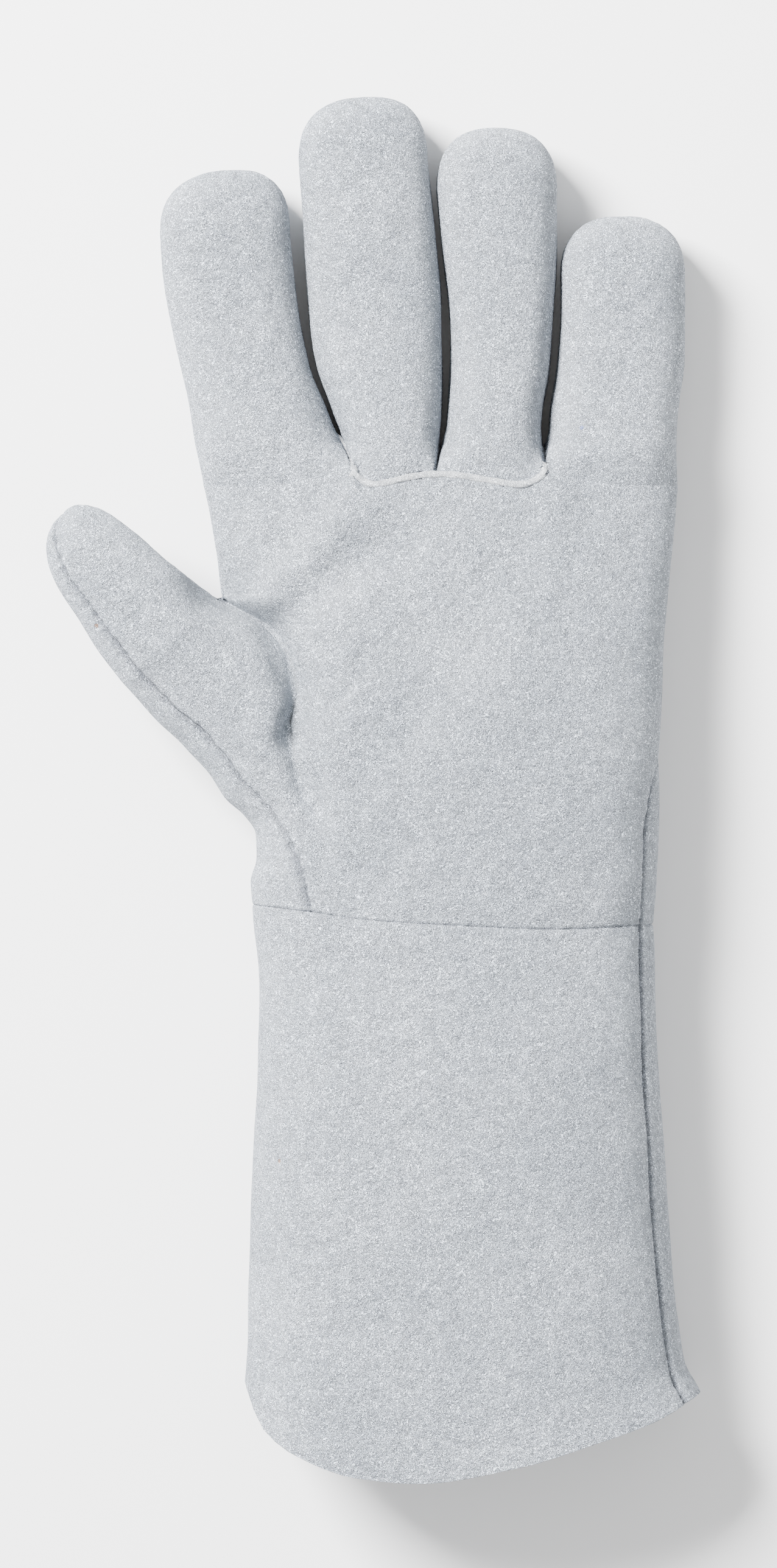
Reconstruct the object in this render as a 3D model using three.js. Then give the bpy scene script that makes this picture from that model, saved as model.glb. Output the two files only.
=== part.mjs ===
// A leather welding gauntlet for the left hand, lying on its back with the palm up.
//
// The glove is a shell of split leather with an open mouth at the cuff, hollow through the palm into
// the thumb and the four fingers. It is sewn from a palm panel that runs up into the index finger, the
// little finger and the thumb, the fronts of the two middle fingers, a welt in the seam at their base,
// a back panel that wraps to the front beside the thumb and above the cuff, and a cuff whose one seam
// runs down the front near the right edge.
//
// Every panel is cut from one closed surface. The surface is divided into five lanes, one for the thumb
// and one for each finger, and each lane has a front and a back. A lane is a row of cross-sections, which
// share their heights with the neighbouring lanes in the palm and close to tubes past each fork.
//
// Millimetres. +Z points up out of the palm, +Y along the fingers, +X from the thumb to the little finger.
import * as THREE from "three";

const { lerp, smoothstep, degToRad } = THREE.MathUtils;

// Leather and sewing
const WALL = 1.5;
const SEAM_GAP = 0.5;
const CORNER_GAP = 0.65;

// Hand, measured from the wrist seam to the seam at the base of the fingers
const PALM_WIDTH = 104;
const PALM_LENGTH = 111;
const PALM_DEPTH = 46;

// Fingers, measured from the same seam to the tips
const INDEX_LENGTH = 82;
const MIDDLE_LENGTH = 101;
const RING_LENGTH = 93;
const LITTLE_LENGTH = 70;
const FINGER_DEPTH = 27;
const FINGER_TIP = 16.5;
const FINGER_GAP = 1;
const WEB_DEPTH = 10;

// Thumb, measured from the section at its fork to its tip
const THUMB_LENGTH = 43;
const THUMB_WIDTH = 33;
const THUMB_DEPTH = 30;
const THUMB_LIFT = 30;
const THUMB_SPREAD = 41;

// Cuff, measured from the wrist seam to the corners of the hem
const CUFF_LENGTH = 119;
const CUFF_WIDTH = 116;
const CUFF_DEPTH = 50;
const HEM_BOW = 24;

// Welt in the seam at the base of the two middle fingers
const WELT_THICKNESS = 1.7;
const WELT_PROUD = 0.9;
const WELT_CORNER = 3.5;
const WELT_WAVE = 3;
const WELT_TAB = 2.5;
const WELT_LEAN = 0.4;

// Side welt, the strip beside the seam at the lower right. It starts this share of a half turn below the side.
const WELT_BELOW = 0.09;

// The palm, by share of its length. left and right are shares of its width from the middle line, and
// top is a share of its depth.
const PALM = [
  { up: 0, left: -0.5, right: 0.5, top: 1 },
  { up: 0.2, left: -0.47, right: 0.507, top: 1.02 },
  { up: 0.38, left: -0.45, right: 0.515, top: 1 },
  { up: 0.57, left: -0.45, right: 0.52, top: 0.94 },
  { up: 0.74, left: -0.57, right: 0.533, top: 0.86 },
  { up: 0.84, left: -0.588, right: 0.542, top: 0.81 },
  { up: 0.94, left: -0.608, right: 0.552, top: 0.76 },
  { up: 1, left: -0.622, right: 0.56, top: 0.73 },
];

// The wrist seam's height, by share of the palm's width from the middle line, in shares of its length
const WRIST_SEAM = [
  { x: -0.5, rise: 0.033 },
  { x: -0.35, rise: 0.018 },
  { x: -0.2, rise: 0 },
  { x: 0.05, rise: -0.014 },
  { x: 0.26, rise: -0.021 },
  { x: 0.5, rise: -0.012 },
];

// The root of the thumb, by share of the palm's length. The valley divides it from the palm, the edge is
// its outline, and seam is the share of the way from the edge to the valley where the thumb seam runs.
const THUMB_ROOT = [
  { up: 0, valleyX: -0.324, edgeX: -0.5, edgeY: 0, seam: 0.84 },
  { up: 0.1, valleyX: -0.33, edgeX: -0.5, edgeY: 0.06, seam: 0.74 },
  { up: 0.2, valleyX: -0.332, edgeX: -0.485, edgeY: 0.125, seam: 0.53 },
  { up: 0.29, valleyX: -0.366, edgeX: -0.489, edgeY: 0.185, seam: 0.38 },
  { up: 0.36, valleyX: -0.391, edgeX: -0.518, edgeY: 0.228, seam: 0.31 },
  { up: 0.44, valleyX: -0.407, edgeX: -0.561, edgeY: 0.268, seam: 0.25 },
  { up: 0.52, valleyX: -0.392, edgeX: -0.606, edgeY: 0.335, seam: 0.19 },
  { up: 0.6, valleyX: -0.405, edgeX: -0.661, edgeY: 0.395, seam: 0.16 },
  { up: 0.67, valleyX: -0.455, edgeX: -0.731, edgeY: 0.458, seam: 0.14 },
];

// The thumb past its fork, by share of its length. inner and outer are shares of its width from its axis,
// depth is a share of its depth, and lift is a share of the height of its axis above the table.
const THUMB = [
  { along: 0, inner: 0.46, outer: 0.54, depth: 1, lift: 0.95, seam: 0.14 },
  { along: 0.23, inner: 0.395, outer: 0.52, depth: 0.93, lift: 0.98, seam: 0.15 },
  { along: 0.52, inner: 0.32, outer: 0.46, depth: 0.85, lift: 1, seam: 0.15 },
  { along: 1, inner: 0.26, outer: 0.4, depth: 0.75, lift: 1, seam: 0.15 },
];
const THUMB_FORK = { x: -0.683, y: 0.65 };
const THUMB_TIP_SHARE = 0.48;

// The lines between and beside the fingers. up is a share of the middle finger's length above the seam at
// their base, and x a share of the palm's width from the middle line.
const FINGER_LINES = {
  indexSide: [
    { up: 0, x: -0.622 },
    { up: 0.2, x: -0.655 },
    { up: 0.4, x: -0.698 },
    { up: 0.58, x: -0.725 },
    { up: 0.8, x: -0.735 },
  ],
  indexMiddle: [
    { up: 0, x: -0.241 },
    { up: 0.2, x: -0.306 },
    { up: 0.31, x: -0.346 },
    { up: 0.41, x: -0.362 },
    { up: 0.6, x: -0.374 },
    { up: 0.84, x: -0.388 },
  ],
  middleRing: [
    { up: 0, x: -0.044 },
    { up: 0.17, x: -0.022 },
    { up: 0.31, x: -0.016 },
    { up: 0.46, x: -0.019 },
    { up: 0.62, x: -0.034 },
    { up: 0.84, x: -0.055 },
  ],
  ringLittle: [
    { up: 0, x: 0.224 },
    { up: 0.18, x: 0.23 },
    { up: 0.3, x: 0.248 },
    { up: 0.42, x: 0.257 },
    { up: 0.56, x: 0.262 },
    { up: 0.84, x: 0.266 },
  ],
  littleSide: [
    { up: 0, x: 0.56 },
    { up: 0.15, x: 0.557 },
    { up: 0.34, x: 0.574 },
    { up: 0.49, x: 0.577 },
    { up: 0.7, x: 0.562 },
  ],
};

// The fingers, each between two lines. drawn is what a finger draws back from its right line towards its
// tip, in shares of its tip's length, and crown is the share of the way across where its tip is highest.
const FINGERS = [
  { name: "index", left: "indexSide", right: "indexMiddle", length: INDEX_LENGTH, drawn: 0.12, crown: 0.59 },
  { name: "middle", left: "indexMiddle", right: "middleRing", length: MIDDLE_LENGTH, drawn: 0, crown: 0.56 },
  { name: "ring", left: "middleRing", right: "ringLittle", length: RING_LENGTH, drawn: 0, crown: 0.49 },
  { name: "little", left: "ringLittle", right: "littleSide", length: LITTLE_LENGTH, drawn: 0, crown: 0.48 },
];

// How far the side seam lies round to the front of the little finger's lane, by share of the palm's
// length, in shares of a half turn.
const SIDE_SEAM = [
  { up: 0, turn: 0.24 },
  { up: 0.2, turn: 0.24 },
  { up: 0.3, turn: 0.17 },
  { up: 0.42, turn: 0 },
  { up: 1, turn: 0 },
];

// The cuff, by share of its length. left and right are shares of its half width, which grows from the
// palm's to the cuff's own, and top is a share of its depth.
const CUFF = [
  { down: 0, left: -1, right: 1, top: 0.92 },
  { down: 0.13, left: -0.95, right: 0.985, top: 0.94 },
  { down: 0.27, left: -0.93, right: 0.98, top: 0.96 },
  { down: 0.5, left: -0.93, right: 0.987, top: 0.98 },
  { down: 0.77, left: -0.928, right: 1.005, top: 1 },
  { down: 0.93, left: -0.922, right: 1.03, top: 1 },
  { down: 1, left: -0.92, right: 1.094, top: 1 },
];

// The hem, by share of the cuff's width. front and back are shares of the hem's bow.
const HEM = [
  { across: 0, front: 0, back: 0 },
  { across: 0.035, front: 0.44, back: 0.1 },
  { across: 0.11, front: 0.72, back: 0.2 },
  { across: 0.25, front: 0.95, back: 0.3 },
  { across: 0.38, front: 1, back: 0.34 },
  { across: 0.6, front: 0.83, back: 0.34 },
  { across: 0.77, front: 0.58, back: 0.26 },
  { across: 0.9, front: 0.36, back: 0.18 },
  { across: 1, front: 0.1, back: 0.1 },
];

// Soft folds pressed into the palm's front, each a ridge or a dent along a line. The ends are shares of
// the palm's width and length, and width and height are shares of its depth.
const FOLDS = [
  { fromX: -0.54, fromY: 0.7, toX: -0.2, toY: 0.97, width: 0.1, height: 0.045 },
  { fromX: -0.42, fromY: 0.68, toX: -0.1, toY: 0.86, width: 0.12, height: -0.06 },
  { fromX: 0.26, fromY: 0.97, toX: 0.24, toY: 0.76, width: 0.08, height: 0.03 },
  { fromX: -0.26, fromY: 0.06, toX: -0.12, toY: 0.2, width: 0.18, height: -0.04 },
];

// How round each kind of section is: 2 is an ellipse and more is squarer.
const PALM_SQUARENESS = 2.6;
const TUBE_SQUARENESS = 2.4;

// How steeply the palm and the thumb run down into the valley between them
const PALM_BANK = 6;
const THUMB_BANK = 2.6;
const BANK_END = 0.1;

// Heights of the side seams, as shares of each depth, and how far the back is pressed flat by resting
const SIDE_SHARE = 0.38;
const REST_SHARE = 0.12;

// Cells of the surface
const FINGER_COLUMNS = 7;
const THUMB_COLUMNS = 6;
const ROOT_ROWS = 9;
const PALM_ROWS = 4;
const WEB_ROWS = 3;
const SIDE_WELT_ROWS = 6;
const SHAFT_ROWS = 5;
const TIP_ROWS = 5;
const CUFF_ROWS = 8;

// A row of a table at any place between its rows, every column by a smooth curve that doesn't overshoot.
function sample(table, key, at) {
  const last = table.length - 1;
  let i = table.findIndex((row) => row[key] >= at);
  if (i < 0) i = last;
  i = Math.max(i, 1);
  const slope = (j, column) => {
    if (j < 1 || j > last) return 0;
    return (table[j][column] - table[j - 1][column]) / (table[j][key] - table[j - 1][key]);
  };
  const tangent = (j, column) => {
    const before = slope(j, column);
    const after = slope(j + 1, column);
    if (j === 0) return after;
    if (j === last) return before;
    return before * after <= 0 ? 0 : (2 * before * after) / (before + after);
  };
  const a = table[i - 1];
  const b = table[i];
  const span = b[key] - a[key];
  const t = THREE.MathUtils.clamp((at - a[key]) / span, 0, 1);
  const row = {};
  for (const column of Object.keys(a)) {
    const rise = t * t * (3 - 2 * t);
    const leave = t * (1 - t) * (1 - t) * tangent(i - 1, column);
    const arrive = t * t * (1 - t) * tangent(i, column);
    row[column] = lerp(a[column], b[column], rise) + span * (leave - arrive);
  }
  return row;
}

// 0 at both ends of a section and 1 in the middle, as a superellipse rises.
function arch(share, squareness) {
  const off = Math.min(1, Math.abs(2 * share - 1));
  return (1 - off ** squareness) ** (1 / squareness);
}

// How much of its width and depth a tube keeps at a place in its tip, from 1 to 0.
function tipFactor(place) {
  const blunt = 2.5;
  return (1 - THREE.MathUtils.clamp(place, 0, 1) ** blunt) ** (1 / blunt);
}

// 0 at both ends and 1 in the middle too, but running down to the ends at a slope, as a valley's side does.
function bank(share, steepness) {
  return 1 - Math.min(1, Math.abs(2 * share - 1)) ** steepness;
}

// The height of a section's front or back, between the heights of its ends, where it has risen by a share.
function height(front, ends, share, section, risen) {
  const side = lerp(ends[0], ends[1], share);
  const far = front ? section.top : section.bottom;
  return Math.max(0, lerp(side, far, risen));
}

const palmSide = PALM_DEPTH * SIDE_SHARE;
const thumbAxis = new THREE.Vector2(-Math.sin(degToRad(THUMB_SPREAD)), Math.cos(degToRad(THUMB_SPREAD)));
const thumbAcross = new THREE.Vector2(thumbAxis.y, -thumbAxis.x);
const thumbBase = new THREE.Vector2(THUMB_FORK.x * PALM_WIDTH, THUMB_FORK.y * PALM_LENGTH);

// One section of the thumb past its fork.
function thumbSection(along) {
  const row = sample(THUMB, "along", along);
  const kept = tipFactor((along - (1 - THUMB_TIP_SHARE)) / THUMB_TIP_SHARE);
  const centre = thumbBase.clone().addScaledVector(thumbAxis, along * THUMB_LENGTH);
  const middle = row.lift * THUMB_LIFT;
  const half = (row.depth * THUMB_DEPTH * kept) / 2;
  return {
    left: centre.clone().addScaledVector(thumbAcross, -row.outer * THUMB_WIDTH * kept),
    right: centre.clone().addScaledVector(thumbAcross, row.inner * THUMB_WIDTH * kept),
    top: middle + half,
    bottom: middle - half,
    middle,
    seam: row.seam,
  };
}

// The thumb's fork is where its inner side leaves the palm.
const fork = thumbSection(0);
const forkShare = fork.right.y / PALM_LENGTH;
const rootTable = [
  ...THUMB_ROOT.filter((row) => row.up < forkShare - 0.05),
  {
    up: forkShare,
    valleyX: fork.right.x / PALM_WIDTH,
    edgeX: fork.left.x / PALM_WIDTH,
    edgeY: fork.left.y / PALM_LENGTH,
    seam: fork.seam,
  },
];

// The palm's outline at a share of its length. Below the fork its left end is the valley beside the thumb.
function palmRow(up) {
  const row = sample(PALM, "up", up);
  const leftShare = up <= forkShare ? sample(rootTable, "up", up).valleyX : row.left;
  return {
    left: leftShare * PALM_WIDTH,
    right: row.right * PALM_WIDTH,
    y: up * PALM_LENGTH,
    top: row.top * PALM_DEPTH,
  };
}

// The edge of the root of the thumb, with the width of the whole section from it to the palm's right edge.
function rootRow(up) {
  const row = sample(rootTable, "up", up);
  return {
    edge: new THREE.Vector2(row.edgeX * PALM_WIDTH, row.edgeY * PALM_LENGTH),
    valley: new THREE.Vector2(row.valleyX * PALM_WIDTH, up * PALM_LENGTH),
    seam: row.seam,
  };
}

// How far the thumb has parted from the palm at a share of the palm's length, on the front or the back.
// The front's valley deepens evenly and drops to the fork at its end.
function parting(front, up) {
  if (!front) return smoothstep(up, 0.1 * forkShare, forkShare) ** 2;
  const start = 0.22;
  const opened = THREE.MathUtils.clamp((up - start) / (forkShare - start), 0, 1);
  const drop = 0.3;
  return (1 - drop) * opened + drop * opened ** 8;
}

// The folds' height at a place on the palm.
function foldHeight(x, y) {
  let total = 0;
  for (const fold of FOLDS) {
    const from = new THREE.Vector2(fold.fromX * PALM_WIDTH, fold.fromY * PALM_LENGTH);
    const along = new THREE.Vector2(fold.toX * PALM_WIDTH, fold.toY * PALM_LENGTH).sub(from);
    const offset = new THREE.Vector2(x, y).sub(from);
    const share = THREE.MathUtils.clamp(offset.dot(along) / along.lengthSq(), 0, 1);
    const distance = offset.addScaledVector(along, -share).length();
    total += fold.height * PALM_DEPTH * Math.exp(-((distance / (fold.width * PALM_DEPTH)) ** 2));
  }
  return total;
}

// The shares of the palm's width at which its four finger lanes part.
const laneShares = (() => {
  const lineX = Object.values(FINGER_LINES).map((line) => line[0].x);
  return lineX.map((x) => (x - lineX[0]) / (lineX[4] - lineX[0]));
})();

// How far the wrist seam's own line lifts a point above it.
function wristRise(x, up) {
  return sample(WRIST_SEAM, "x", x / PALM_WIDTH).rise * PALM_LENGTH * (1 - up) ** 3;
}

// The seam at the base of the fingers, which rises between the middle and ring fingers and at its corners.
function baseRise(lane, share) {
  const [index, middle, ring, little] = [0, 1, 2, 3];
  const corner = (distance) => WELT_CORNER * Math.max(0, 1 - distance / 0.25) ** 2;
  const wave = (distance) => WELT_WAVE * (1 - smoothstep(distance, 0, 0.9));
  if (lane === index) return WELT_CORNER * share ** 3;
  if (lane === middle) return corner(share) + wave(1 - share);
  if (lane === ring) return corner(1 - share) + wave(share);
  return lane === little ? WELT_CORNER * (1 - share) ** 3 : 0;
}

// A point of the palm, in a finger's lane, at a share across the lane.
function palmPoint(front, lane, share, up) {
  const row = palmRow(up);
  const across = lerp(laneShares[lane], laneShares[lane + 1], share);
  const x = lerp(row.left, row.right, across);
  const section = { top: row.top, bottom: -PALM_DEPTH * REST_SHARE };
  const ends = [palmSide, palmSide];
  let risen = arch(across, PALM_SQUARENESS);
  if (front && across < 0.5) {
    risen = lerp(bank(across, PALM_BANK), risen, smoothstep(up, forkShare, forkShare + BANK_END));
  }
  let z = height(front, ends, across, section, risen);
  let folded = arch(across, 2);
  if (up < forkShare) {
    const edge = rootRow(up).edge.x;
    const whole = (x - edge) / (row.right - edge);
    const joined = height(front, ends, whole, section, arch(whole, PALM_SQUARENESS));
    z = lerp(joined, z, parting(front, up));
    folded = lerp(arch(whole, 2), folded, parting(front, up));
  }
  if (front) z += foldHeight(x, row.y) * folded;
  const rise = baseRise(lane, share) * smoothstep(up, 0.7, 1);
  return new THREE.Vector3(x, row.y + wristRise(x, up) + rise, z);
}

// A point of the thumb's root, beside the palm, at a share from its edge to the valley.
function rootPoint(front, share, up) {
  const row = rootRow(up);
  const palm = palmRow(up);
  const opened = parting(front, up);
  const spot = row.edge.clone().lerp(row.valley, share);
  const apart = { top: lerp(palm.top, fork.top, opened), bottom: fork.bottom };
  const edgeHeight = lerp(palmSide, fork.middle, up / forkShare);
  const risen = front && share > 0.5 ? bank(share, THUMB_BANK) : arch(share, TUBE_SQUARENESS);
  const own = height(front, [edgeHeight, palmSide], share, apart, risen);
  const whole = (spot.x - row.edge.x) / (palm.right - row.edge.x);
  const section = { top: palm.top, bottom: -PALM_DEPTH * REST_SHARE };
  const joined = height(front, [palmSide, palmSide], whole, section, arch(whole, PALM_SQUARENESS));
  let z = lerp(joined, own, opened);
  if (front) z += foldHeight(spot.x, spot.y) * arch(whole, 2) * (1 - opened);
  return new THREE.Vector3(spot.x, spot.y + wristRise(spot.x, up), z);
}

// A point of the thumb past its fork. Its inner side starts at the palm's side and rises to the axis.
function thumbPoint(front, share, along) {
  const section = thumbSection(along);
  const spot = section.left.clone().lerp(section.right, share);
  const inner = lerp(palmSide, section.middle, smoothstep(along, 0, 0.35));
  let risen = arch(share, TUBE_SQUARENESS);
  if (front && share > 0.5) risen = lerp(bank(share, THUMB_BANK), risen, smoothstep(along, 0, 0.35));
  const z = height(front, [section.middle, inner], share, section, risen);
  return new THREE.Vector3(spot.x, spot.y, z);
}

// One section across a finger, at a height above the seam at the base of the fingers.
function fingerSection(lane, up) {
  const finger = FINGERS[lane];
  const tipStart = finger.length - FINGER_TIP;
  const level = Math.min(up, tipStart);
  const lineX = (name, at) => sample(FINGER_LINES[name], "up", at / MIDDLE_LENGTH).x * PALM_WIDTH;
  const parted = (FINGER_GAP / 2) * smoothstep(up, WEB_DEPTH, 2 * WEB_DEPTH);
  const drawn = finger.drawn * FINGER_TIP * smoothstep(level, 0.35 * finger.length, tipStart);
  const between = (name) => (name.endsWith("Side") ? 0 : parted);
  let left = lineX(finger.left, level) + between(finger.left);
  let right = lineX(finger.right, level) - between(finger.right) - drawn;
  const kept = tipFactor((up - tipStart) / FINGER_TIP);
  const crown = lerp(left, right, finger.crown);
  left = lerp(crown, left, kept);
  right = lerp(crown, right, kept);
  const side = lerp(palmSide, FINGER_DEPTH / 2, smoothstep(up, 0, 2 * WEB_DEPTH));
  const full = lerp(palmRow(1).top, FINGER_DEPTH, smoothstep(up, 0, 0.5 * finger.length));
  return {
    left,
    right,
    side,
    top: lerp(side, full, kept),
    bottom: lerp(side, -FINGER_DEPTH * REST_SHARE, kept),
  };
}

// A point of a finger. Between the seam at its base and the web the fingers still share one section.
function fingerPoint(front, lane, share, up) {
  const section = fingerSection(lane, up);
  const x = lerp(section.left, section.right, share);
  const ends = [section.side, section.side];
  const own = height(front, ends, share, section, arch(share, TUBE_SQUARENESS));
  const across = lerp(laneShares[lane], laneShares[lane + 1], share);
  const row = palmRow(1);
  const palm = { top: row.top, bottom: -PALM_DEPTH * REST_SHARE };
  const joined = height(front, [palmSide, palmSide], across, palm, arch(across, PALM_SQUARENESS));
  const webbed = Math.max(0, 1 - up / WEB_DEPTH);
  const fold = front ? foldHeight(x, PALM_LENGTH) * arch(across, 2) * webbed : 0;
  const rise = baseRise(lane, share) * (1 - smoothstep(up, 0, 2 * WEB_DEPTH));
  return new THREE.Vector3(x, PALM_LENGTH + up + rise, lerp(own, joined, webbed) + fold);
}

// Shares at even steps, for the rows of a stretch.
function steps(count) {
  return Array.from({ length: count + 1 }, (_, i) => i / count);
}

// Even steps from one value to another.
function fan(from, to, count) {
  return steps(count).map((t) => lerp(from, to, t));
}

// Shares that crowd towards a rounded tip.
function tipSteps(count) {
  return steps(count).map((t) => Math.sin((t * Math.PI) / 2));
}

// The rows of the thumb's lane, from the wrist to its tip.
const shaftShare = 1 - THUMB_TIP_SHARE;
const thumbRows = [
  ...steps(ROOT_ROWS).map((t) => ({ point: (front, share) => rootPoint(front, share, t * forkShare), root: t })),
  ...steps(SHAFT_ROWS)
    .slice(1)
    .map((t) => ({ point: (front, share) => thumbPoint(front, share, t * shaftShare), along: t * shaftShare })),
  ...tipSteps(TIP_ROWS)
    .slice(1)
    .map((t) => shaftShare + t * THUMB_TIP_SHARE)
    .map((along) => ({ point: (front, share) => thumbPoint(front, share, along), along })),
];

// The rows of a finger's lane, from the wrist to its tip.
function fingerRows(lane) {
  const tipStart = FINGERS[lane].length - FINGER_TIP;
  const ups = [
    ...steps(WEB_ROWS).map((t) => t * WEB_DEPTH),
    ...steps(SHAFT_ROWS)
      .slice(1)
      .map((t) => lerp(WEB_DEPTH, tipStart, t)),
    ...tipSteps(TIP_ROWS)
      .slice(1)
      .map((t) => tipStart + t * FINGER_TIP),
  ];
  const palm = [
    ...steps(ROOT_ROWS).map((t) => t * forkShare),
    ...steps(PALM_ROWS)
      .slice(1, -1)
      .map((t) => lerp(forkShare, 1, t)),
  ];
  return [
    ...palm.map((up) => ({ point: (front, share) => palmPoint(front, lane, share, up), up })),
    ...ups.map((up) => ({ point: (front, share) => fingerPoint(front, lane, share, up), up: 1 })),
  ];
}

// The row at which the palm ends and the fronts of the middle fingers start, and the row of the webs.
const baseRow = ROOT_ROWS + PALM_ROWS;
const webRow = baseRow + WEB_ROWS;

// Where a row of a lane starts and ends on the front and on the back, in shares of the half turn from its
// left side over to its right. The back reaches round to the front as far as the seam: beside the thumb it
// starts before 0, and at the lower right the side welt takes it from WELT_BELOW the side to past 1.
function thumbTurns(row, front) {
  const root = row.along === undefined;
  const { seam } = root ? rootRow(row.root * forkShare) : sample(THUMB, "along", row.along);
  const turn = Math.acos(1 - 2 * seam) / Math.PI;
  return front ? fan(turn, 1, THUMB_COLUMNS) : fan(-turn, 1, THUMB_COLUMNS + 2);
}

function fingerTurns() {
  return fan(0, 1, FINGER_COLUMNS);
}

function littleTurns(row, front) {
  const round = sample(SIDE_SEAM, "up", row.up).turn;
  return front ? fan(0, 1 - round, FINGER_COLUMNS) : [...fan(0, 1 - WELT_BELOW, FINGER_COLUMNS), 1, 1 + round];
}

// A lane's grid of points on its front or back. Places crowd towards the sides of the lane.
function laneGrid(rows, front, turns) {
  return rows.map((row) =>
    turns(row, front).map((turn) => {
      const onFront = front || turn < 0 || turn > 1;
      const share = (1 - Math.cos(Math.PI * turn)) / 2;
      return row.point(onFront, share);
    }),
  );
}

const grids = { front: [], back: [] };
for (const side of ["front", "back"]) {
  const front = side === "front";
  grids[side].push(laneGrid(thumbRows, front, thumbTurns));
  FINGERS.forEach((finger, lane) => {
    const turns = finger.name === "little" ? littleTurns : fingerTurns;
    grids[side].push(laneGrid(fingerRows(lane), front, turns));
  });
}

// The cuff's section at a share of its length, below the point where a column leaves the wrist.
const wristLeft = -PALM_WIDTH / 2;
function cuffPoint(wrist, front, down) {
  const across = THREE.MathUtils.clamp((wrist.x - wristLeft) / PALM_WIDTH, 0, 1);
  const row = sample(CUFF, "down", down);
  const half = lerp(PALM_WIDTH, CUFF_WIDTH, down) / 2;
  const hem = sample(HEM, "across", across);
  const reach = CUFF_LENGTH + HEM_BOW * (front ? hem.front : hem.back);
  const top = lerp(PALM_DEPTH, row.top * CUFF_DEPTH, smoothstep(down, 0, 0.3));
  const section = { top, bottom: -PALM_DEPTH * REST_SHARE };
  const z = height(front, [palmSide, palmSide], across, section, arch(across, PALM_SQUARENESS));
  return new THREE.Vector3(
    lerp(row.left * half, row.right * half, across),
    lerp(wrist.y, -reach, down),
    lerp(wrist.z, z, smoothstep(down, 0, 0.2)),
  );
}

// The wrist's whole loop of points, from the side seam over the front to the thumb, round the back and
// up over the side welt to the seam again.
const wristFront = grids.front.flatMap((grid) => grid[0].slice(0, -1));
const wristBack = grids.back.flatMap((grid) => grid[0].slice(0, -1));
const wristSeam = grids.front.at(-1)[0].at(-1);
const wristLoop = [wristSeam, ...wristFront.reverse(), ...wristBack.slice(1), wristSeam];
const widest = (point) => point.z >= palmSide;
const cuffGrid = steps(CUFF_ROWS).map((down) => wristLoop.map((point) => cuffPoint(point, widest(point), down)));

// Points that lie together are one vertex of the glove's surface.
const vertices = [];
const vertexAt = new Map();
function vertexOf(point) {
  const key = [point.x, point.y, point.z].map((value) => Math.round(value * 2000)).join();
  if (!vertexAt.has(key)) {
    vertexAt.set(key, vertices.length);
    vertices.push(point.clone());
  }
  return vertexAt.get(key);
}

// The cells of a grid as triangles of vertex numbers, facing out, without those that a tip folds away.
// Columns are counted from the left, or from the right if negative.
function cells(grid, out, fromRow, toRow, fromColumn = 0, toColumn = grid[0].length - 1) {
  const triangles = [];
  const [first, last] = [fromColumn, toColumn].map((column) => (column < 0 ? grid[0].length - 1 + column : column));
  for (let i = fromRow; i < toRow; i++) {
    for (let j = first; j < last; j++) {
      const [a, b, c, d] = [grid[i][j], grid[i][j + 1], grid[i + 1][j + 1], grid[i + 1][j]].map(vertexOf);
      const pair = out
        ? [[a, b, c], [a, c, d]]
        : [[a, c, b], [a, d, c]];
      for (const triangle of pair) if (new Set(triangle).size === 3) triangles.push(triangle);
    }
  }
  return triangles;
}

// Which cells make which piece of leather
const [thumbFront, indexFront, middleFront, ringFront, littleFront] = grids.front;
const littleBack = grids.back.at(-1);
const lastRow = (grid) => grid.length - 1;
const whole = (grid, out) => cells(grid, out, 0, lastRow(grid));
const panels = {
  palm_panel: [
    ...whole(thumbFront, true),
    ...whole(indexFront, true),
    ...cells(middleFront, true, 0, baseRow),
    ...cells(ringFront, true, 0, baseRow),
    ...whole(littleFront, true),
  ],
  middle_finger_front: cells(middleFront, true, baseRow, lastRow(middleFront)),
  ring_finger_front: cells(ringFront, true, baseRow, lastRow(ringFront)),
  back_panel: [
    ...grids.back.slice(0, -1).flatMap((grid) => whole(grid, false)),
    ...cells(littleBack, false, 0, lastRow(littleBack), 0, -2),
    ...cells(littleBack, false, SIDE_WELT_ROWS, lastRow(littleBack), -2),
  ],
  cuff: cells(cuffGrid, true, 0, CUFF_ROWS, 0, -2),
  side_welt: [
    ...cells(littleBack, false, 0, SIDE_WELT_ROWS, -2),
    ...cells(cuffGrid, true, 0, CUFF_ROWS, -2),
  ],
};

// The surface's outward direction at each vertex, the same for every panel that meets there.
const normals = vertices.map(() => new THREE.Vector3());
for (const [a, b, c] of Object.values(panels).flat()) {
  const ab = vertices[b].clone().sub(vertices[a]);
  const ac = vertices[c].clone().sub(vertices[a]);
  const face = ab.cross(ac);
  for (const v of [a, b, c]) normals[v].add(face);
}
normals.forEach((normal) => normal.normalize());

// The seam that holds the welt: down the web beside the index finger, along the base of the two middle
// fingers, and up beside the little finger.
const columnOf = (grid, column, from, to) =>
  Array.from({ length: to - from + 1 }, (_, i) => vertexOf(grid[from + i].at(column)));
const weltSeam = [
  ...columnOf(middleFront, 0, baseRow, webRow).reverse(),
  ...middleFront[baseRow].slice(1).map(vertexOf),
  ...ringFront[baseRow].slice(1, -1).map(vertexOf),
  ...columnOf(ringFront, -1, baseRow, baseRow + 1),
];
const weltVertices = new Set(weltSeam);
const hemVertices = new Set(cuffGrid.at(-1).map(vertexOf));

// The finger seams just above the webs, where neighbouring fingers still touch
const webVertices = new Set(
  grids.front.slice(1).flatMap((grid) => [webRow + 1, webRow + 2].flatMap((row) => [grid[row][0], grid[row].at(-1)]).map(vertexOf)),
);

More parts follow.
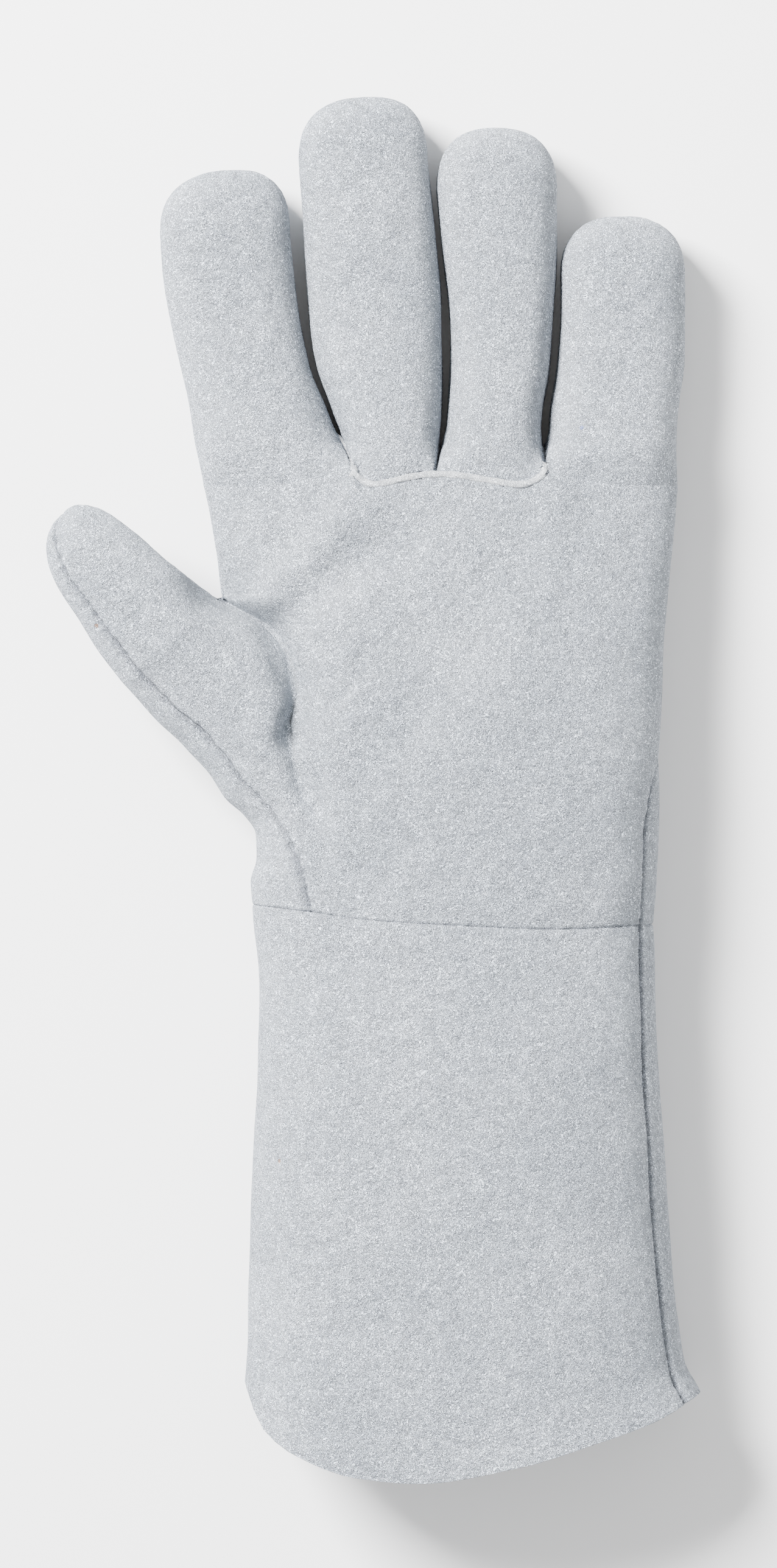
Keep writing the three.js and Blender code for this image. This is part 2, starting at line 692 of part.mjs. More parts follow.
// How many panels meet at each vertex
const meeting = vertices.map(() => 0);
for (const triangles of Object.values(panels)) {
  for (const vertex of new Set(triangles.flat())) meeting[vertex] += 1;
}

// How far a panel's edge stands back from the seam line at a vertex. It is more at the corners of several
// panels and above the webs.
function edgeTrim(vertex) {
  if (hemVertices.has(vertex)) return SEAM_GAP / 2;
  if (weltVertices.has(vertex)) return 0.8 * WELT_THICKNESS + SEAM_GAP;
  const crowded = meeting[vertex] > 2 || webVertices.has(vertex);
  return crowded ? CORNER_GAP : SEAM_GAP / 2;
}

// A closed solid of one leather thickness under a panel's triangles.
function leather(triangles) {
  const edges = new Map();
  for (const triangle of triangles) {
    triangle.forEach((from, i) => {
      const to = triangle[(i + 1) % 3];
      if (!edges.delete(`${to},${from}`)) edges.set(`${from},${to}`, [from, to]);
    });
  }
  const inward = new Map();
  for (const [from, to] of edges.values()) {
    const along = vertices[to].clone().sub(vertices[from]).normalize();
    for (const end of [from, to]) {
      const turned = normals[end].clone().cross(along).normalize();
      inward.set(end, [...(inward.get(end) ?? []), turned]);
    }
  }
  const numbers = new Map();
  const outer = [];
  const inner = [];
  for (const vertex of new Set(triangles.flat())) {
    numbers.set(vertex, outer.length);
    const spot = vertices[vertex].clone();
    if (inward.has(vertex)) {
      const mean = inward.get(vertex).reduce((sum, each) => sum.add(each), new THREE.Vector3());
      const spread = Math.max(0.6, mean.length() / inward.get(vertex).length);
      const widened = weltVertices.has(vertex) ? spread : spread ** 2;
      spot.addScaledVector(mean.normalize(), edgeTrim(vertex) / widened);
    }
    outer.push(spot);
    inner.push(spot.clone().addScaledVector(normals[vertex], -WALL));
  }
  const count = outer.length;
  const index = [];
  for (const triangle of triangles) {
    const [a, b, c] = triangle.map((vertex) => numbers.get(vertex));
    index.push(a, b, c, a + count, c + count, b + count);
  }
  for (const [from, to] of edges.values()) {
    const [a, b] = [numbers.get(from), numbers.get(to)];
    if (from < to) index.push(b, a, a + count, b, a + count, b + count);
    else index.push(b, a, b + count, a, a + count, b + count);
  }
  return new THREE.BufferGeometry().setFromPoints([...outer, ...inner]).setIndex(index);
}

// The welt is a ribbon of leather on edge in its seam. Its loose end stands out of the web.
function welt() {
  const path = weltSeam.map((vertex) => vertices[vertex]);
  const loose = (i) => WELT_TAB * Math.max(0, 1 - i / WEB_ROWS) ** 3;
  const points = [];
  path.forEach((spot, i) => {
    const normal = i < WEB_ROWS ? new THREE.Vector3(-WELT_LEAN, 0, 1).normalize() : normals[weltSeam[i]];
    const along = path[Math.min(i + 1, path.length - 1)].clone().sub(path[Math.max(i - 1, 0)]);
    const end = i === 0 || i === path.length - 1;
    const aside = along.cross(normal).setLength((WELT_THICKNESS / 2) * (end ? 0.6 : 1));
    const high = spot.clone().addScaledVector(normal, WELT_PROUD + loose(i));
    const low = spot.clone().addScaledVector(normal, -WALL + 0.5 * loose(i));
    points.push(high.clone().sub(aside), high.clone().add(aside), low.clone().add(aside), low.clone().sub(aside));
  });
  const index = [];
  const corners = 4;
  for (let i = 0; i + 1 < path.length; i++) {
    for (let k = 0; k < corners; k++) {
      const a = i * corners + k;
      const b = i * corners + ((k + 1) % corners);
      index.push(a, b, a + corners, b, b + corners, a + corners);
    }
  }
  const end = (path.length - 1) * corners;
  index.push(0, 2, 1, 0, 3, 2, end, end + 1, end + 2, end, end + 2, end + 3);
  return new THREE.BufferGeometry().setFromPoints(points).setIndex(index);
}

const suede = new THREE.MeshStandardMaterial({ color: 0xc6ccd2, roughness: 0.95, metalness: 0 });
const cutEdge = new THREE.MeshStandardMaterial({ color: 0xc9ccc9, roughness: 0.9, metalness: 0 });

const glove = new THREE.Group();
for (const [name, triangles] of Object.entries(panels)) {
  const mesh = new THREE.Mesh(leather(triangles), suede);
  mesh.name = name;
  glove.add(mesh);
}
const weltMesh = new THREE.Mesh(welt(), cutEdge);
weltMesh.name = "finger_welt";
glove.add(weltMesh);

// The origin is the middle of the glove's outline, on the surface that it rests on.
const bounds = new THREE.Box3().setFromObject(glove);
const middle = bounds.getCenter(new THREE.Vector3());
glove.position.set(-middle.x, -middle.y, -bounds.min.z);

export default glove;
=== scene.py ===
# %% A leather welding gauntlet in Blender
#
# The glove is for the left hand and lies on its back, palm up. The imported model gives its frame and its
# size. This script makes the leather: one smooth surface for the whole glove, cut into panels along the
# seams, rolled in at each seam, creased, given its thickness, and covered with a suede material.

# %% [markdown]
# ## Set up
# The frame comes first. Everything below is worked out in millimetres, in the glove's own frame, and
# becomes metres only when a mesh is made.

import math

import bpy
import numpy as np
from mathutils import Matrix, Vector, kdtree


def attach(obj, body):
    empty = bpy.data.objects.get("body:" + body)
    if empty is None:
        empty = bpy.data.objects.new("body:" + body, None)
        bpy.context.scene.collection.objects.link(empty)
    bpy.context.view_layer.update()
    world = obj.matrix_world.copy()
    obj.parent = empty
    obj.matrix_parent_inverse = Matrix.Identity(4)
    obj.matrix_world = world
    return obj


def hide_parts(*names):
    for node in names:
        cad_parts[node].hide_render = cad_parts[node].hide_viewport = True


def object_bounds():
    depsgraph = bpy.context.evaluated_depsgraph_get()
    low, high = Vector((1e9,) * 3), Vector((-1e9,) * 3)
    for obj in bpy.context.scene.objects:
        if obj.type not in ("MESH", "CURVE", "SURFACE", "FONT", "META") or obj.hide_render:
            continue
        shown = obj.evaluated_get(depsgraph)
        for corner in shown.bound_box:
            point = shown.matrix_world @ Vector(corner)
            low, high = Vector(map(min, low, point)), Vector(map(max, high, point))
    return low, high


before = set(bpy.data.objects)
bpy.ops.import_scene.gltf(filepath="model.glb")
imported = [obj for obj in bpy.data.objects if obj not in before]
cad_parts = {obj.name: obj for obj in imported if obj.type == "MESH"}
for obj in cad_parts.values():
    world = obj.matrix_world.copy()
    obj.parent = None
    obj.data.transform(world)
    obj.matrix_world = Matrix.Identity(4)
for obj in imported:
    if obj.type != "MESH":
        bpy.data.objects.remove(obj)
cad_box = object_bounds()
print("frame box in metres:", cad_box)

RANDOM = np.random.default_rng(7)

# %% [markdown]
# ## Sizes
# The glove's main sizes, and the tables of its outline. Lengths are in millimetres, and the numbers in
# the tables are shares of the size that they belong to. The palm runs from the wrist seam to the seam at
# the base of the fingers, and its middle line is x = 0.

# %% Sizes
WALL = 1.5
PALM_WIDTH, PALM_LENGTH, PALM_DEPTH = 104.0, 111.0, 46.0
FINGER_DEPTH, FINGER_TIP, FINGER_GAP, WEB_DEPTH = 27.0, 16.5, 1.0, 10.0
MIDDLE_LENGTH = 101.0
THUMB_LENGTH, THUMB_WIDTH, THUMB_DEPTH, THUMB_LIFT = 43.0, 33.0, 30.0, 30.0
THUMB_SPREAD = math.radians(41)
THUMB_TIP_SHARE = 0.48
THUMB_FORK = (-0.683, 0.65)
PALM_BANK, THUMB_BANK, BANK_END = 6.0, 2.6, 0.1
STRIP_END = 0.493
CUFF_LENGTH, CUFF_WIDTH, CUFF_DEPTH, HEM_BOW = 119.0, 116.0, 50.0, 24.0
WELT_THICKNESS, WELT_CORNER, WELT_WAVE, WELT_BELOW = 2.0, 3.5, 3.0, 0.09
PALM_SQUARENESS, TUBE_SQUARENESS = 2.6, 2.4
SIDE_SHARE, REST_SHARE = 0.38, 0.12
PALM_SIDE = PALM_DEPTH * SIDE_SHARE


def table(names, *rows):
    """A table of numbers with named columns, as {name: array}."""
    return dict(zip(names.split(), np.array(rows, float).T))


PALM = table(
    "up left right top",
    (0, -0.5, 0.5, 1),
    (0.2, -0.47, 0.507, 1.02),
    (0.38, -0.45, 0.515, 1),
    (0.57, -0.45, 0.52, 0.94),
    (0.74, -0.57, 0.533, 0.86),
    (0.84, -0.588, 0.542, 0.81),
    (0.94, -0.608, 0.552, 0.76),
    (1, -0.622, 0.56, 0.73),
)
WRIST_SEAM = table(
    "x rise", (-0.5, 0.033), (-0.35, 0.018), (-0.2, 0), (0.05, -0.014), (0.26, -0.021), (0.5, -0.012)
)
THUMB_ROOT = table(
    "up valley_x edge_x edge_y seam",
    (0, -0.324, -0.5, 0, 0.84),
    (0.1, -0.33, -0.5, 0.06, 0.74),
    (0.2, -0.332, -0.485, 0.125, 0.53),
    (0.29, -0.366, -0.489, 0.185, 0.38),
    (0.36, -0.391, -0.518, 0.228, 0.31),
    (0.44, -0.407, -0.561, 0.268, 0.25),
    (0.52, -0.392, -0.606, 0.335, 0.19),
    (0.6, -0.405, -0.661, 0.395, 0.16),
    (0.67, -0.455, -0.731, 0.458, 0.14),
)
THUMB = table(
    "along inner outer depth lift seam",
    (0, 0.46, 0.54, 1, 0.95, 0.14),
    (0.23, 0.395, 0.52, 0.93, 0.98, 0.15),
    (0.52, 0.32, 0.46, 0.85, 1, 0.15),
    (1, 0.26, 0.4, 0.75, 1, 0.15),
)
LINES = {
    "index_side": table("up x", (0, -0.622), (0.2, -0.655), (0.4, -0.698), (0.58, -0.725), (0.8, -0.735)),
    "index_middle": table(
        "up x", (0, -0.241), (0.2, -0.306), (0.31, -0.346), (0.41, -0.362), (0.6, -0.374), (0.84, -0.388)
    ),
    "middle_ring": table(
        "up x", (0, -0.044), (0.17, -0.022), (0.31, -0.016), (0.46, -0.019), (0.62, -0.034), (0.84, -0.055)
    ),
    "ring_little": table(
        "up x", (0, 0.224), (0.18, 0.23), (0.3, 0.248), (0.42, 0.257), (0.56, 0.262), (0.84, 0.266)
    ),
    "little_side": table("up x", (0, 0.56), (0.15, 0.557), (0.34, 0.574), (0.49, 0.577), (0.7, 0.562)),
}
# name, left line, right line, length, drawn back on the right, place of the crown
FINGERS = [
    ("index", "index_side", "index_middle", 82.0, 0.12, 0.59),
    ("middle", "index_middle", "middle_ring", 101.0, 0.0, 0.56),
    ("ring", "middle_ring", "ring_little", 93.0, 0.0, 0.49),
    ("little", "ring_little", "little_side", 70.0, 0.0, 0.48),
]
SIDE_SEAM = table("up turn", (0, 0.24), (0.2, 0.24), (0.3, 0.17), (0.42, 0), (1, 0))
CUFF = table(
    "down left right top",
    (0, -1, 1, 0.92),
    (0.13, -0.95, 0.985, 0.94),
    (0.27, -0.93, 0.98, 0.96),
    (0.5, -0.93, 0.987, 0.98),
    (0.77, -0.928, 1.005, 1),
    (0.93, -0.922, 1.03, 1),
    (1, -0.92, 1.094, 1),
)
HEM = table(
    "across front back",
    (0, 0, 0),
    (0.035, 0.44, 0.1),
    (0.11, 0.72, 0.2),
    (0.25, 0.95, 0.3),
    (0.38, 1, 0.34),
    (0.6, 0.83, 0.34),
    (0.77, 0.58, 0.26),
    (0.9, 0.36, 0.18),
    (1, 0.1, 0.1),
)
# Folds: from x, from y, to x, to y in shares of the palm, width and height in shares of its depth
FOLDS = [
    (-0.54, 0.7, -0.2, 0.97, 0.1, 0.045),
    (-0.42, 0.68, -0.1, 0.86, 0.12, -0.06),
    (0.26, 0.97, 0.24, 0.76, 0.08, 0.03),
    (-0.26, 0.06, -0.12, 0.2, 0.18, -0.04),
]

# %% [markdown]
# ## The surface
# The glove's surface is divided into five lanes, the thumb and the four fingers, and each lane has a front
# and a back. A lane is a row of cross-sections. Each section is half a superellipse between its two sides,
# so its height at a share q of the way across is (1 - |2q - 1|^n)^(1/n) of its depth.


# %% Curves and sections
def lerp(a, b, t):
    return a + (b - a) * t


def smoothstep(x, low, high):
    t = np.clip((x - low) / (high - low), 0, 1)
    return t * t * (3 - 2 * t)


def sample(rows, key, name, at):
    """A column of a table between its rows: a cubic, its slopes harmonic means, that can't overshoot."""
    x, y = rows[key], rows[name]
    slope = np.diff(y) / np.diff(x)
    product = slope[:-1] * slope[1:]
    total = slope[:-1] + slope[1:]
    inner = np.where(product > 0, 2 * product / np.where(total == 0, 1, total), 0)
    tangent = np.concatenate([slope[:1], inner, slope[-1:]])
    i = np.clip(np.searchsorted(x, at), 1, len(x) - 1)
    span = x[i] - x[i - 1]
    t = np.clip((at - x[i - 1]) / span, 0, 1)
    bend = t * (1 - t) ** 2 * tangent[i - 1] - t * t * (1 - t) * tangent[i]
    return lerp(y[i - 1], y[i], t * t * (3 - 2 * t)) + span * bend


def arch(share, squareness):
    off = np.minimum(1, np.abs(2 * share - 1))
    return (1 - off**squareness) ** (1 / squareness)


def tip_factor(place):
    """How much of its size a tube keeps in its tip: (1 - p^n)^(1/n)."""
    blunt = 2.5
    return (1 - np.clip(place, 0, 1) ** blunt) ** (1 / blunt)


def bank(share, steepness):
    """1 - |2 s - 1|^k: 0 at both ends and 1 in the middle, running down to the ends at a slope."""
    return 1 - np.abs(2 * share - 1) ** steepness


def height(front, left, right, share, top, bottom, risen):
    """The height of a section's front or back. The back is pressed flat where it rests, at 0."""
    side = lerp(left, right, share)
    far = top if front else bottom
    return np.maximum(0, lerp(side, far, risen))


# %% [markdown]
# ## Palm, thumb and fingers
# Below the thumb's fork the valley beside the thumb is a soft dip that deepens towards the fork. Past the
# fork the thumb is a tube of its own. The fingers share one section with the palm at the seam at their
# base, and are tubes of their own from the web on.

# %% Thumb
AXIS = np.array([-math.sin(THUMB_SPREAD), math.cos(THUMB_SPREAD)])
ACROSS = np.array([AXIS[1], -AXIS[0]])
THUMB_BASE = np.array([THUMB_FORK[0] * PALM_WIDTH, THUMB_FORK[1] * PALM_LENGTH])


def thumb_section(along):
    kept = tip_factor((along - (1 - THUMB_TIP_SHARE)) / THUMB_TIP_SHARE)
    centre = THUMB_BASE + AXIS * along * THUMB_LENGTH
    middle = sample(THUMB, "along", "lift", along) * THUMB_LIFT
    half = sample(THUMB, "along", "depth", along) * THUMB_DEPTH * kept / 2
    return {
        "left": centre - ACROSS * sample(THUMB, "along", "outer", along) * THUMB_WIDTH * kept,
        "right": centre + ACROSS * sample(THUMB, "along", "inner", along) * THUMB_WIDTH * kept,
        "top": middle + half,
        "bottom": middle - half,
        "middle": middle,
    }


FORK = thumb_section(0.0)
FORK_SHARE = FORK["right"][1] / PALM_LENGTH
ROOT = {
    name: np.append(values[THUMB_ROOT["up"] < FORK_SHARE - 0.05], last)
    for (name, values), last in zip(
        THUMB_ROOT.items(),
        (
            FORK_SHARE,
            FORK["right"][0] / PALM_WIDTH,
            FORK["left"][0] / PALM_WIDTH,
            FORK["left"][1] / PALM_LENGTH,
            THUMB["seam"][0],
        ),
    )
}


def palm_row(up):
    y = up * PALM_LENGTH
    right = sample(PALM, "up", "right", up) * PALM_WIDTH
    left = sample(ROOT, "up", "valley_x", up) if up <= FORK_SHARE else sample(PALM, "up", "left", up)
    return left * PALM_WIDTH, right, y, sample(PALM, "up", "top", up) * PALM_DEPTH


def root_row(up):
    edge_x, edge_y = sample(ROOT, "up", "edge_x", up), sample(ROOT, "up", "edge_y", up)
    edge = np.array([edge_x * PALM_WIDTH, edge_y * PALM_LENGTH])
    valley = np.array([sample(ROOT, "up", "valley_x", up) * PALM_WIDTH, up * PALM_LENGTH])
    return edge, valley


def parting(front, up):
    """How far the thumb has parted from the palm. On the front, with t from 0 to 1: 0.7 t + 0.3 t^8."""
    if not front:
        return smoothstep(up, 0.1 * FORK_SHARE, FORK_SHARE) ** 2
    start = 0.22
    opened = np.clip((up - start) / (FORK_SHARE - start), 0, 1)
    return 0.7 * opened + 0.3 * opened**8


def fold_height(x, y):
    """The sum of the folds, each a bell exp(-(d/w)^2) of the distance d to its line."""
    total = np.zeros(np.broadcast(x, y).shape)
    for from_x, from_y, to_x, to_y, width, lift in FOLDS:
        start = np.array([from_x * PALM_WIDTH, from_y * PALM_LENGTH])
        along = np.array([to_x * PALM_WIDTH, to_y * PALM_LENGTH]) - start
        dx, dy = x - start[0], y - start[1]
        share = np.clip((dx * along[0] + dy * along[1]) / (along @ along), 0, 1)
        distance = np.hypot(dx - share * along[0], dy - share * along[1])
        total += lift * PALM_DEPTH * np.exp(-((distance / (width * PALM_DEPTH)) ** 2))
    return total


LANE_X = np.array([line["x"][0] for line in LINES.values()])
LANE_SHARES = (LANE_X - LANE_X[0]) / (LANE_X[4] - LANE_X[0])


def wrist_rise(x, up):
    return sample(WRIST_SEAM, "x", "rise", x / PALM_WIDTH) * PALM_LENGTH * (1 - up) ** 3


def base_rise(lane, share):
    """The seam at the base of the fingers rises at its two corners and between the middle fingers."""

    def corner(distance):
        return WELT_CORNER * np.maximum(0, 1 - distance / 0.25) ** 2

    def wave(distance):
        return WELT_WAVE * (1 - smoothstep(distance, 0, 0.9))

    return (
        WELT_CORNER * share**3,
        corner(share) + wave(1 - share),
        corner(1 - share) + wave(share),
        WELT_CORNER * (1 - share) ** 3,
    )[lane]


def palm_point(front, lane, share, up):
    left, right, y, top = palm_row(up)
    across = lerp(LANE_SHARES[lane], LANE_SHARES[lane + 1], share)
    x = lerp(left, right, across)
    bottom = -PALM_DEPTH * REST_SHARE
    risen = arch(across, PALM_SQUARENESS)
    if front:
        banked = (across < 0.5) * (1 - smoothstep(up, FORK_SHARE, FORK_SHARE + BANK_END))
        risen = lerp(risen, bank(across, PALM_BANK), banked)
    z = height(front, PALM_SIDE, PALM_SIDE, across, top, bottom, risen)
    folded = arch(across, 2)
    if up < FORK_SHARE:
        edge, _ = root_row(up)
        whole = (x - edge[0]) / (right - edge[0])
        joined = height(front, PALM_SIDE, PALM_SIDE, whole, top, bottom, arch(whole, PALM_SQUARENESS))
        z = lerp(joined, z, parting(front, up))
        folded = lerp(arch(whole, 2), folded, parting(front, up))
    if front:
        z = z + fold_height(x, y) * folded
    rise = base_rise(lane, share) * smoothstep(up, 0.7, 1)
    return np.stack([x, y + wrist_rise(x, up) + rise, z], -1)


def root_point(front, lane, share, up):
    edge, valley = root_row(up)
    _, right, _, top = palm_row(up)
    opened = parting(front, up)
    x, y = lerp(edge[0], valley[0], share), lerp(edge[1], valley[1], share)
    edge_height = lerp(PALM_SIDE, FORK["middle"], up / FORK_SHARE)
    own_top = lerp(top, FORK["top"], opened)
    risen = arch(share, TUBE_SQUARENESS)
    if front:
        risen = np.where(share > 0.5, bank(share, THUMB_BANK), risen)
    own = height(front, edge_height, PALM_SIDE, share, own_top, FORK["bottom"], risen)
    whole = (x - edge[0]) / (right - edge[0])
    bottom = -PALM_DEPTH * REST_SHARE
    joined = height(front, PALM_SIDE, PALM_SIDE, whole, top, bottom, arch(whole, PALM_SQUARENESS))
    z = lerp(joined, own, opened)
    if front:
        z = z + fold_height(x, y) * arch(whole, 2) * (1 - opened)
    return np.stack([x, y + wrist_rise(x, up), z], -1)


def thumb_point(front, lane, share, along):
    section = thumb_section(along)
    x, y = (lerp(section["left"][k], section["right"][k], share) for k in (0, 1))
    inner = lerp(PALM_SIDE, section["middle"], smoothstep(along, 0, 0.35))
    risen = arch(share, TUBE_SQUARENESS)
    if front:
        risen = lerp(risen, bank(share, THUMB_BANK), (share > 0.5) * (1 - smoothstep(along, 0, 0.35)))
    z = height(front, section["middle"], inner, share, section["top"], section["bottom"], risen)
    return np.stack([x, y, z], -1)


# %% Fingers
def finger_section(lane, up):
    _, left_line, right_line, length, drawn, crown = FINGERS[lane]
    tip_start = length - FINGER_TIP
    level = min(up, tip_start)
    parted = FINGER_GAP / 2 * smoothstep(up, WEB_DEPTH, 1.5 * WEB_DEPTH)
    left = sample(LINES[left_line], "up", "x", level / MIDDLE_LENGTH) * PALM_WIDTH
    right = sample(LINES[right_line], "up", "x", level / MIDDLE_LENGTH) * PALM_WIDTH
    left = left + (0 if "side" in left_line else parted)
    right = right - (0 if "side" in right_line else parted)
    right = right - drawn * FINGER_TIP * smoothstep(level, 0.35 * length, tip_start)
    kept = tip_factor((up - tip_start) / FINGER_TIP)
    middle = lerp(left, right, crown)
    side = lerp(PALM_SIDE, FINGER_DEPTH / 2, smoothstep(up, 0, 2 * WEB_DEPTH))
    full = lerp(palm_row(1.0)[3], FINGER_DEPTH, smoothstep(up, 0, 0.5 * length))
    top = lerp(side, full, kept)
    bottom = lerp(side, -FINGER_DEPTH * REST_SHARE, kept)
    return lerp(middle, left, kept), lerp(middle, right, kept), side, top, bottom


def finger_point(front, lane, share, up):
    left, right, side, top, bottom = finger_section(lane, up)
    x = lerp(left, right, share)
    own = height(front, side, side, share, top, bottom, arch(share, TUBE_SQUARENESS))
    across = lerp(LANE_SHARES[lane], LANE_SHARES[lane + 1], share)
    palm_top, palm_bottom = palm_row(1.0)[3], -PALM_DEPTH * REST_SHARE
    risen = arch(across, PALM_SQUARENESS)
    joined = height(front, PALM_SIDE, PALM_SIDE, across, palm_top, palm_bottom, risen)
    webbed = max(0, 1 - up / WEB_DEPTH)
    z = lerp(own, joined, webbed)
    if front:
        z = z + fold_height(x, PALM_LENGTH) * arch(across, 2) * webbed
    rise = base_rise(lane, share) * (1 - smoothstep(up, 0, 2 * WEB_DEPTH))
    return np.stack([x, PALM_LENGTH + up + rise, z], -1)


# %% [markdown]
# ## Rows and columns
# The rows lie about one cell apart, and closer beside a seam, where the leather rolls in. The columns
# crowd towards the sides of a lane for the same reason.

# %% Rows and columns
CELL = 1.15
NEAR_SEAM = np.array([0.0, 0.12, 0.35, 0.7, 1.15, 1.75, 2.5])


def rows_over(start, end, seam_at_start=False, seam_at_end=False):
    """Values from start to end in millimetres, one cell apart, and closer beside a seam."""
    length = end - start
    near = NEAR_SEAM[NEAR_SEAM < length / 3]
    low = near if seam_at_start else near[:1]
    high = (length - near[::-1]) if seam_at_end else np.array([length])
    count = max(2, int(round((high[0] - low[-1]) / CELL)))
    return start + np.concatenate([low, np.linspace(low[-1], high[0], count + 1)[1:-1], high])


def tip_rows(start, length):
    count = int(round(1.5 * length / CELL))
    return start + length * np.sin(np.arange(1, count + 1) / count * math.pi / 2)


ROOT_UPS = rows_over(0, FORK_SHARE * PALM_LENGTH, seam_at_start=True) / PALM_LENGTH
PALM_UPS = rows_over(FORK_SHARE * PALM_LENGTH, PALM_LENGTH, seam_at_end=True)[1:-1] / PALM_LENGTH
WEB_UPS = rows_over(0, WEB_DEPTH, seam_at_start=True)
BASE_ROW = len(ROOT_UPS) + len(PALM_UPS)
WEB_ROW = BASE_ROW + len(WEB_UPS) - 1
FORK_ROW = len(ROOT_UPS) - 1
STRIP_ROW = int(np.searchsorted(ROOT_UPS, STRIP_END))

SHAFT_END = (1 - THUMB_TIP_SHARE) * THUMB_LENGTH
THUMB_ROWS = [(root_point, up) for up in ROOT_UPS]
THUMB_ROWS += [(thumb_point, y / THUMB_LENGTH) for y in rows_over(0, SHAFT_END)[1:]]
THUMB_ROWS += [(thumb_point, y / THUMB_LENGTH) for y in tip_rows(SHAFT_END, THUMB_TIP_SHARE * THUMB_LENGTH)]


def finger_rows(lane):
    tip_start = FINGERS[lane][3] - FINGER_TIP
    rows = [(palm_point, up) for up in (*ROOT_UPS, *PALM_UPS)]
    ups = (*WEB_UPS, *rows_over(WEB_DEPTH, tip_start)[1:], *tip_rows(tip_start, FINGER_TIP))
    return rows + [(finger_point, up) for up in ups]


FINGER_COLUMNS = int(round(36 / CELL))
THUMB_COLUMNS = int(round(34 / CELL))


def thumb_turns(row, front):
    point, at = row
    seam = sample(ROOT, "up", "seam", at) if point is root_point else sample(THUMB, "along", "seam", at)
    turn = math.acos(1 - 2 * seam) / math.pi
    if front:
        return np.linspace(turn, 1, THUMB_COLUMNS + 1)
    wrapped = np.linspace(-turn, 0, 8)[:-1]
    return np.concatenate([wrapped, np.linspace(0, 1, THUMB_COLUMNS + 1)])


def finger_turns(row, front):
    return np.linspace(0, 1, FINGER_COLUMNS + 1)


STRIP_COLUMNS = 11


def little_turns(row, front):
    point, at = row
    turn = sample(SIDE_SEAM, "up", "turn", at) if point is palm_point else 0.0
    if front:
        return np.linspace(0, 1 - turn, FINGER_COLUMNS + 1)
    strip = np.concatenate([np.linspace(1 - WELT_BELOW, 1, 4)[1:], np.linspace(1, 1 + turn, 9)[1:]])
    return np.concatenate([np.linspace(0, 1 - WELT_BELOW, FINGER_COLUMNS + 1), strip])


def lane_grid(rows, lane, front, turns):
    """A grid of points, rows by columns. A turn t lies a share (1 - cos(pi t)) / 2 of the way across."""
    lines = []
    for row in rows:
        turn = turns(row, front)
        share = (1 - np.cos(math.pi * turn)) / 2
        own = row[0](front, lane, share, row[1])
        if not front and (turn < 0).any() or (turn > 1).any():
            other = row[0](True, lane, share, row[1])
            own = np.where(((turn < 0) | (turn > 1))[:, None], other, own)
        lines.append(own)
    return np.array(lines)


grids = {}
for front in (True, False):
    side = "front" if front else "back"
    grids["thumb", side] = lane_grid(THUMB_ROWS, 0, front, thumb_turns)
    for lane, finger in enumerate(FINGERS):
        turns = little_turns if finger[0] == "little" else finger_turns
        grids[finger[0], side] = lane_grid(finger_rows(lane), lane, front, turns)
for key, grid in grids.items():
    print("grid", key, grid.shape)

# %% [markdown]
# ## Cuff
# The cuff hangs from the wrist's own loop of points. Its seam is where the loop starts and ends.


# %% Cuff
def cuff_grid():
    order = ["thumb", *(finger[0] for finger in FINGERS)]
    front = np.concatenate([grids[name, "front"][0][:-1] for name in order])
    back = np.concatenate([grids[name, "back"][0][:-1] for name in order])
    seam = grids["little", "front"][0][-1:]
    loop = np.concatenate([seam, front[::-1], back[1:], seam])
    on_front = loop[:, 2] >= PALM_SIDE - 1e-6
    across = np.clip((loop[:, 0] + PALM_WIDTH / 2) / PALM_WIDTH, 0, 1)
    bow = np.where(on_front, sample(HEM, "across", "front", across), sample(HEM, "across", "back", across))
    lines = []
    for down in rows_over(0, CUFF_LENGTH, seam_at_start=True, seam_at_end=True) / CUFF_LENGTH:
        half = lerp(PALM_WIDTH, CUFF_WIDTH, down) / 2
        top = lerp(PALM_DEPTH, sample(CUFF, "down", "top", down) * CUFF_DEPTH, smoothstep(down, 0, 0.3))
        left, right = sample(CUFF, "down", "left", down) * half, sample(CUFF, "down", "right", down) * half
        bottom = -PALM_DEPTH * REST_SHARE
        over = height(True, PALM_SIDE, PALM_SIDE, across, top, bottom, arch(across, PALM_SQUARENESS))
        under = height(False, PALM_SIDE, PALM_SIDE, across, top, bottom, arch(across, PALM_SQUARENESS))
        z = np.where(on_front, over, under)
        y = lerp(loop[:, 1], -CUFF_LENGTH - HEM_BOW * bow, down)
        x = lerp(left, right, across)
        z = lerp(loop[:, 2], z, smoothstep(down, 0, 0.2))
        lines.append(np.stack([x, y, z], -1))
    return np.array(lines)


grids["cuff", "all"] = cuff_grid()
print("cuff grid", grids["cuff", "all"].shape)

# %% [markdown]
# ## One surface, cut into panels
# Points that lie together become one vertex, and every cell knows which panel it belongs to.

# %% Vertices and panels
vertices = np.concatenate([grid.reshape(-1, 3) for grid in grids.values()])
rounded = np.round(vertices * 500).astype(np.int64)
_, first, merged = np.unique(rounded, axis=0, return_index=True, return_inverse=True)
vertices = vertices[first]
merged = merged.ravel()
number = {}
offset = 0
for key, grid in grids.items():
    size = grid.shape[0] * grid.shape[1]
    number[key] = merged[offset : offset + size].reshape(grid.shape[:2])
    offset += size


def panel_of(key, row, column, columns):
    name, side = key
    in_strip = column >= columns - STRIP_COLUMNS
    if name == "cuff":
        return "side_welt" if in_strip else "cuff"
    if side == "back":
        return "side_welt" if name == "little" and in_strip and row < STRIP_ROW else "back_panel"
    if name in ("middle", "ring") and row >= BASE_ROW:
        return name + "_finger_front"
    return "palm_panel"


